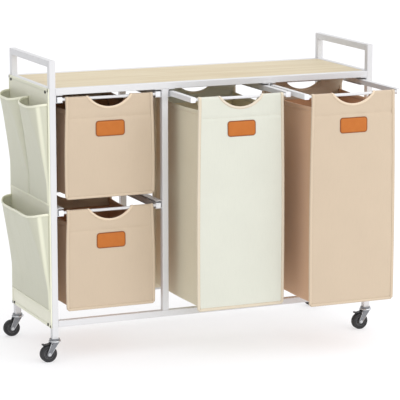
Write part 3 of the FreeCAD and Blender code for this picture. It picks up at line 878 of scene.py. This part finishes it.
def make_bag_cloth(bag):
    """Cloth shell of one bag: the outer cloth, a darker, warmer copy of it on the gusset as painted
    shade, and a warm tint of painted shade on the inner faces.
    """
    gusset = bag_gusset(bag)
    gusset_faces = len(gusset[1])
    shell = merge([*bag_panel(bag, False), *bag_panel(bag, True), gusset])
    cloth = new_piece(bag.name + "_bag_cloth", shell, MATERIALS[bag.slot], bag.body)
    weld(cloth)
    thicken(cloth, CLOTH_T)
    # The inner faces take the warm tint of painted shade
    tint_inside_faces(cloth, (MATERIALS[bag.slot], SHADED_SIDE_CLOTH[bag.slot]), INSIDE_WARM_SHADES[bag.slot])
    panels = len(cloth.data.polygons) - gusset_faces
    # The gusset faces take the copy with painted shade
    cloth.data.polygons.foreach_set("material_index", [0] * panels + [1] * gusset_faces)
    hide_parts(bag.name + "_bag")


def make_bag_tapes(bag):
    """Binding tape, cut-out trim, side hems and stitches of one bag."""
    tapes, trims, hems, seams = [], [], [], []
    for rear in (False, True):
        edge = edge_frames(bag, rear)
        cutout = cutout_frames(bag, rear)
        tapes.append(sweep(tape_section(TAPE_W, TAPE_W - 1 * MM, SEAM_T), edge))
        trims.append(sweep(tape_section(CUTOUT_TAPE_W, CUTOUT_TAPE_W, CLOTH_T), cutout))
        seams.append(stitches(edge, TAPE_W - STITCH_IN, TAPE_T))
        seams.append(stitches(cutout, CUTOUT_TAPE_W - NARROW_STITCH_IN, TAPE_T))
        seams.append(stitches(stitch_row_frames(bag, rear), 0, 0))
    for side in (-1, 1):
        hem = side_hem_frames(bag, side)
        hems.append(sweep(tape_section(HEM_TAPE_W, HEM_TAPE_W, CLOTH_T), hem))
        seams.append(stitches(hem, HEM_TAPE_W - NARROW_STITCH_IN, TAPE_T))
    # The side hems take the gusset's copy of the cloth with painted shade
    for part, shapes, material, slot in (
            ("binding", tapes, BINDINGS[bag.slot], "tan_fabric"),
            ("trim", trims, TRIMS[bag.slot], "tan_fabric"),
            ("hems", hems, SHADED_SIDE_CLOTH[bag.slot], bag.slot),
            ("stitches", seams, THREADS["tan_fabric"], "tan_fabric")):
        new_piece(f"{bag.name}_bag_{part}", merge(shapes), material, bag.body)


def rounded_ring(half_w, half_h, radius):
    """Points anticlockwise round a rounded rectangle about the origin."""
    points = []
    for corner, (sx, sy) in enumerate(((1, 1), (-1, 1), (-1, -1), (1, -1))):
        for k in range(LABEL_CORNER_STEPS + 1):
            turn = math.pi / 2 * (corner + k / LABEL_CORNER_STEPS)
            points.append((sx * (half_w - radius) + radius * math.cos(turn),
                           sy * (half_h - radius) + radius * math.sin(turn)))
    return points


def make_label(bag):
    """Blank leather tag with a skived, burnished edge and a pressed line inside it."""
    low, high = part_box(bag.name + "_label")
    half_w = (high.x - low.x) / 2
    half_h = (high.z - low.z) / 2
    middle_x = (high.x + low.x) / 2 - bag.middle
    middle_z = (high.z + low.z) / 2
    verts, uvs = [], []
    for inset, lift in LABEL_RINGS:
        ring = rounded_ring(half_w - inset, half_h - inset, max(LABEL_R - inset, 1.5 * MM))
        for x, z in ring:
            point = bag.panel_point(middle_x + x, 0, middle_z + z, False)
            verts.append(point + Vector((0, -lift, 0)))
            uvs.append((1 - inset / LABEL_EDGE_BAND, 0.0))
    faces = tube_faces(len(LABEL_RINGS), len(ring))
    label = new_piece(bag.name + "_label_leather", (verts, faces, uvs), MATERIALS["label_leather"],
                      bag.body)
    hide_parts(bag.name + "_label")


# Organizer

def organizer_piece(name, shape, material):
    return new_piece(name, shape, material, "frame")


def quarter(reach, depth, power):
    """A quarter of a superellipse: (along, out) from the panel, (0, 0), to (reach, depth)."""
    points = []
    for k in range(QUARTER_STEPS + 1):
        turn = math.pi / 2 * k / QUARTER_STEPS
        along = reach * (1 - math.cos(turn) ** (2 / power))
        points.append((along, depth * math.sin(turn) ** (2 / power)))
    return points


class Pocket:
    """One bellows pocket, shaped inside its CAD solid's box."""

    def __init__(self, name, rear_reach):
        self.name = name
        self.rear_reach = rear_reach
        low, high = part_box(name)
        self.panel_x = high.x
        self.y0 = low.y
        self.width = high.y - low.y
        self.foot = low.z
        self.height = high.z - low.z
        self.flare = high.x - low.x
        self.columns = round(self.width / POCKET_CELL)
        self.rows = round(self.height / CELL)

    def open_share(self, t):
        """How far the pocket is open at the share t of its height."""
        return max(0.0, (t - POCKET_FLAT_SHARE) / (1 - POCKET_FLAT_SHARE)) ** 1.15

    def depth(self, t):
        return POCKET_REST_D + (self.flare - POCKET_REST_D) * self.open_share(t)

    def outline(self, t):
        """Evenly spaced (y, out) points round the pocket at t, from its front seam to its rear one."""
        ease = 0.12 + 0.88 * self.open_share(t)
        front = quarter(POCKET_FRONT_REACH * ease, self.depth(t), POCKET_FRONT_POWER)
        rear = quarter(self.rear_reach * ease, self.depth(t), POCKET_REAR_POWER)
        line = np.array(front + [(self.width - y, out) for y, out in reversed(rear)])
        run = np.concatenate([[0], np.cumsum(np.hypot(*np.diff(line, axis=0).T))])
        at = np.linspace(0, run[-1], self.columns + 1)
        return [(float(np.interp(d, run, line[:, 0])), float(np.interp(d, run, line[:, 1]))) for d in at]

    def point(self, t, column, outline):
        """Place of the cloth in one column of the outline at t, with its folds and its crease."""
        y, out = outline[column]
        share = out / self.depth(t)
        z = self.foot + self.height * t - POCKET_LIP_DIP * share ** 2 * t ** 3
        fold = noise.noise(Vector((y * 22, z * 6, self.y0 * 40)))
        fold += 0.5 * noise.noise(Vector((y * 60, z * 11, self.y0 * 40 + 7)))
        ease = min(1.0, 6 * column / self.columns, 6 * (1 - column / self.columns))
        out += POCKET_FOLD * fold * ease * (0.35 + 0.65 * t)
        crease = (y - POCKET_CREASE_Y * (0.1 + 0.9 * t)) / POCKET_CREASE_W
        fade = min(1.0, 2.5 * (1 - t)) * self.open_share(t) ** 0.3
        out += POCKET_CREASE * math.exp(-crease ** 2) * fade
        return Vector((self.panel_x - max(out, 0.0), self.y0 + y, z))

    def row(self, t):
        outline = self.outline(t)
        return [self.point(t, c, outline) for c in range(self.columns + 1)]


def path_frames(points, a_axis, out):
    """Frames along points, with a fixed a axis and a b axis square to the path, towards out."""
    frames = []
    for k, point in enumerate(points):
        along = points[min(k + 1, len(points) - 1)] - points[max(k - 1, 0)]
        b_axis = a_axis.cross(along).normalized()
        if b_axis.dot(out) < 0:
            b_axis = -b_axis
        frames.append((point, a_axis, b_axis))
    return frames


def pocket_uvs(pocket, rows):
    """Lengths along the cloth; U is 0 along the crease, where the painted highlight runs, and above 0
    all over the pocket that has no highlight.
    """
    uvs = []
    for r, row in enumerate(rows):
        up = r / pocket.rows
        run = NO_HIGHLIGHT_U_START if pocket.name == POCKET_WITHOUT_HIGHLIGHT else -POCKET_CREASE_RUN * up
        for c, v in enumerate(row):
            run += (v - row[c - 1]).length if c else 0.0
            uvs.append((run, pocket.height * up))
    return uvs


def make_pocket(pocket):
    """Cloth, binding and stitches of one pocket."""
    rows = [pocket.row(k / pocket.rows) for k in range(pocket.rows + 1)]
    verts = [v for row in rows for v in row]
    faces = [tuple(reversed(f)) for f in grid_faces(len(rows), pocket.columns + 1)]
    shape = (verts, faces, pocket_uvs(pocket, rows))
    # The pocket takes the darker cloth with painted shade and its painted highlight
    cloth = organizer_piece(pocket.name + "_cloth", shape, POCKET_CLOTH_SHADE_AND_HIGHLIGHT)
    thicken(cloth, POCKET_CLOTH_T)
    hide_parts(pocket.name)
    out = Vector((-1, 0, 0))
    rim = path_frames(rows[-1], Vector((0, 0, -1)), out)[::-1]
    foot = path_frames([v + out * POCKET_FOOT_LIFT for v in rows[0]], Vector((0, 0, 1)), out)
    trim = organizer_piece(pocket.name + "_binding", merge([
        sweep(tape_section(POCKET_TAPE_W, POCKET_TAPE_W, POCKET_CLOTH_T), rim),
        sweep(tape_section(POCKET_TAPE_W, 1 * MM, POCKET_CLOTH_T), foot),
    ]), BINDINGS["organizer_fabric"])
    seam = organizer_piece(pocket.name + "_stitches", merge([
        stitches(rim, POCKET_TAPE_W - STITCH_IN, TAPE_T),
        stitches(foot, POCKET_TAPE_W - STITCH_IN, TAPE_T),
        stitches(foot, NARROW_STITCH_IN, TAPE_T),
    ]), THREADS["organizer_fabric"])


def panel_x_at(low, high, y, z):
    """Outer face of the organizer's backing at (y, z), drawn tight between its four screws."""
    u = (y - low.y) / (high.y - low.y)
    v = (z - low.z) / (high.z - low.z)
    held = min(1.0, 8 * min(u, 1 - u), 8 * min(v, 1 - v))
    ripple = noise.noise(Vector((y * 16, z * 5, 3.1))) + 0.5 * noise.noise(Vector((y * 6, z * 23, 8.7)))
    return low.x + PANEL_FACE_IN + PANEL_RIPPLE * ripple * held


def panel_edges(low, high):
    """Frames along each of the four edges of the backing."""
    corners = [(low.y, high.z), (high.y, high.z), (high.y, low.z), (low.y, low.z)]
    inward = [(0, -1), (-1, 0), (0, 1), (1, 0)]
    edges = []
    for k, (ay, az) in enumerate(inward):
        (y0, z0), (y1, z1) = corners[k], corners[(k + 1) % 4]
        frames = []
        for n in range(PANEL_TAPE_STEPS + 1):
            y = y0 + (y1 - y0) * n / PANEL_TAPE_STEPS
            z = z0 + (z1 - z0) * n / PANEL_TAPE_STEPS
            point = Vector((panel_x_at(low, high, y, z), y, z))
            frames.append((point, Vector((0, ay, az)), Vector((-1, 0, 0))))
        edges.append(frames)
    return edges


def make_organizer_panel():
    """Cloth, binding and stitches of the backing."""
    low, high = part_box("organizer_panel")
    rows = round((high.z - low.z) / CELL)
    columns = round((high.y - low.y) / CELL)
    verts, uvs = [], []
    for r in range(rows + 1):
        z = low.z + (high.z - low.z) * r / rows
        for c in range(columns + 1):
            y = low.y + (high.y - low.y) * c / columns
            verts.append(Vector((panel_x_at(low, high, y, z), y, z)))
            uvs.append((y, z))
    faces = [tuple(reversed(f)) for f in grid_faces(rows + 1, columns + 1)]
    cloth = organizer_piece("organizer_panel_cloth", (verts, faces, uvs), MATERIALS["organizer_fabric"])
    thicken(cloth, PANEL_CLOTH_T)
    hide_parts("organizer_panel")
    edges = panel_edges(low, high)
    tapes = [sweep(tape_section(TAPE_W, TAPE_W, PANEL_CLOTH_T), edge) for edge in edges]
    seams = [stitches(edge, TAPE_W - STITCH_IN, TAPE_T) for edge in edges]
    trim = organizer_piece("organizer_panel_binding", merge(tapes), BINDINGS["organizer_fabric"])
    seam = organizer_piece("organizer_panel_stitches", merge(seams), THREADS["organizer_fabric"])


# Hardware

def turned(section, segments, centre, height=None, upright=False):
    """A ring round the Y axis, or upright round Z; height(i, angle) adds to point i along the axis."""
    verts, uvs = [], []
    for s in range(segments):
        angle = 2 * math.pi * s / segments
        for i, (r, y) in enumerate(section):
            y += height(i, angle) if height else 0.0
            across = r * math.sin(angle)
            rest = (-across, y) if upright else (y, across)
            verts.append(centre + Vector((r * math.cos(angle), *rest)))
            uvs.append((r * angle, r))
    count = len(section)
    faces = []
    for s in range(segments):
        n = (s + 1) % segments
        for i in range(count):
            j = (i + 1) % count
            faces.append((s * count + i, n * count + i, n * count + j, s * count + j))
    return verts, faces, uvs


def make_hub(place):
    """Moulded hub: rim, five-ribbed web, and a boss bored for the axle."""
    low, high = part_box(f"caster_{place}_hub")
    centre = (low + high) / 2
    boss = (high.y - low.y) / 2
    outer = (high.x - low.x) / 2
    rim = HUB_RIM_W / 2
    side = [(HUB_BORE_R, boss), (HUB_BOSS_R - 0.5 * MM, boss), (HUB_BOSS_R, boss - 0.5 * MM),
            (HUB_BOSS_R + 0.3 * MM, HUB_WEB_T), (HUB_BOSS_R + 1.5 * MM, HUB_WEB_T),
            (outer - 4 * MM, HUB_WEB_T), (outer - 2.8 * MM, HUB_WEB_T),
            (outer - 2.4 * MM, rim - 0.4 * MM), (outer - 2 * MM, rim), (outer - 0.4 * MM, rim),
            (outer, rim - 0.4 * MM)]
    section = side + [(r, -y) for r, y in reversed(side)]
    webs = {3, 4, 5, 6}  # the points of the web's face on this side
    mirrored = {len(section) - 1 - i for i in webs}

    def rib(i, angle):
        lift = HUB_RIB_H if math.cos(HUB_RIBS * angle) > HUB_RIB_COSINE else 0.0
        return lift if i in webs else (-lift if i in mirrored else 0.0)

    hub = new_piece(f"caster_{place}_hub_moulding", turned(section, 120, centre, rib),
                    MATERIALS["wheel_hub"], place + "_wheel")
    break_edges(hub, HUB_EDGE, 1)
    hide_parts(f"caster_{place}_hub")


def eye_tangent(x, z, radius, side):
    """Angle at which the line from (x, z) touches the circle round the origin, on the side +1 or -1."""
    return math.atan2(z, x) + side * math.acos(radius / math.hypot(x, z))


def leg_frames(axle, root_z, radius, side):
    """Frames along a leg's edge on the side +1 or -1 of the wheel: down, round the eye and up."""
    start = eye_tangent(CASTER_TRAIL + FORK_ROOT_HALF, root_z, radius, -1)
    end = eye_tangent(CASTER_TRAIL - FORK_ROOT_HALF, root_z, radius, 1) - 2 * math.pi
    path = [(CASTER_TRAIL + FORK_ROOT_HALF, root_z, start)]
    for k in range(17):
        turn = start + (end - start) * k / 16
        path.append((radius * math.cos(turn), radius * math.sin(turn), turn))
    path.append((CASTER_TRAIL - FORK_ROOT_HALF, root_z, end))
    frames = []
    for x, z, turn in path:
        inward = Vector((-math.cos(turn), 0, -math.sin(turn)))
        frames.append((axle + Vector((x, side * FORK_LEG_Y, z)), inward, Vector((0, side, 0))))
    return frames


def make_fork_edges(place):
    """Rolled edges of the fork's legs and the pressed dome over its plate."""
    low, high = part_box(f"caster_{place}_fork")
    axle_low, axle_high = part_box(f"caster_{place}_axle")
    axle = (axle_low + axle_high) / 2
    axle.y = (low.y + high.y) / 2
    plate_top = high.z - RACE_H
    root_z = plate_top - FORK_ROOT_DROP - axle.z
    parts = [sweep(LEG_BEAD, leg_frames(axle, root_z, axle.x - low.x, side)) for side in (-1, 1)]
    dome_centre = Vector((axle.x + CASTER_TRAIL, axle.y, plate_top))
    parts.append(turned(DOME_SECTION, 64, dome_centre, upright=True))
    # The rolled edges and domes take the lighter zinc: painted highlight
    edges = new_piece(f"caster_{place}_fork_edges", merge(parts), HIGHLIGHT_METAL, place + "_swivel")
    face_outwards(edges)


# Scene

def make_camera():
    """The camera: turned by its yaw about the vertical, pitched down and rolled."""
    data = bpy.data.cameras.new("camera")
    data.lens = CAMERA_LENS
    data.clip_end = 100
    camera = add_object("camera", data)
    turn = Euler((math.pi / 2 - CAMERA_PITCH, 0, -CAMERA_YAW)).to_matrix()
    turn = turn @ Matrix.Rotation(CAMERA_ROLL, 3, "Z")
    camera.matrix_world = Matrix.Translation(CAMERA_PLACE) @ turn.to_4x4()
    bpy.context.scene.camera = camera


def make_key_light():
    """A round soft light from the front right."""
    data = bpy.data.lights.new("key", "AREA")
    data.shape = "DISK"
    data.size = KEY_SIZE
    data.energy = KEY_POWER
    light = add_object("key", data)
    light.location = KEY_PLACE
    light.rotation_euler = (Vector(KEY_AIM) - Vector(KEY_PLACE)).to_track_quat("-Z", "Y").to_euler()


def make_world():
    """White surround that is brighter towards the front right and dimmer towards the left."""
    world = bpy.data.worlds.new("studio")
    world.use_nodes = True
    tree = world.node_tree
    way = tree.nodes.new("ShaderNodeTexCoord")
    facing = tree.nodes.new("ShaderNodeVectorMath")
    facing.operation = "DOT_PRODUCT"
    facing.inputs[1].default_value = Vector(BRIGHT_SIDE).normalized()
    tree.links.new(way.outputs["Generated"], facing.inputs[0])
    level = tree.nodes.new("ShaderNodeMapRange")
    level.inputs["From Min"].default_value = -1
    level.inputs["To Min"].default_value = WORLD_DIM
    level.inputs["To Max"].default_value = WORLD_BRIGHT
    tree.links.new(facing.outputs["Value"], level.inputs["Value"])
    background = tree.nodes["Background"]
    background.inputs["Color"].default_value = linear(WORLD_TONE)
    tree.links.new(level.outputs["Result"], background.inputs["Strength"])
    bpy.context.scene.world = world


def make_studio():
    """Pale floor without an edge in sight, an even pale surround and a soft key from the front right."""
    shade = Shade("studio_floor", 0.9, specular=0.1)
    shade.colour(shade.mix(shade.noise(1.5, 2), linear(FLOOR_TONE), linear(FLOOR_CLOUD)))
    shade.shader.inputs["Emission Color"].default_value = linear(FLOOR_TONE)
    shade.shader.inputs["Emission Strength"].default_value = FLOOR_GLOW
    mesh = bpy.data.meshes.new("studio_floor")
    half = FLOOR_SIZE / 2
    mesh.from_pydata([(-half, -half, 0), (half, -half, 0), (half, half, 0), (-half, half, 0)], [],
                     [(0, 1, 2, 3)])
    mesh.materials.append(shade.material)
    add_object("studio_floor", mesh)
    make_world()
    make_key_light()
    view = bpy.context.scene.view_settings
    view.view_transform = "Standard"
    view.exposure = 0


def dress_cad_pieces():
    """Give every CAD node the finished material of its slot; the axles take the lighter zinc copy, a
    painted highlight.
    """
    for name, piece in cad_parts.items():
        for place in piece.material_slots:
            place.material = HIGHLIGHT_METAL if name.endswith("_axle") else MATERIALS[place.material.name]
        if piece.material_slots[0].material in (MATERIALS["zinc_hardware"], HIGHLIGHT_METAL):
            break_edges(piece, METAL_EDGE, 2)


make_camera()
make_studio()
dress_cad_pieces()
for bag_name, bag_slot in BAG_SLOTS.items():
    bag = Bag(bag_name, bag_slot)
    make_bag_cloth(bag)
    make_bag_tapes(bag)
    make_label(bag)
make_organizer_panel()
for pocket_name, reach in POCKET_REAR_REACH.items():
    make_pocket(Pocket(pocket_name, reach))
for caster in CASTERS:
    make_hub(caster)
    make_fork_edges(caster)
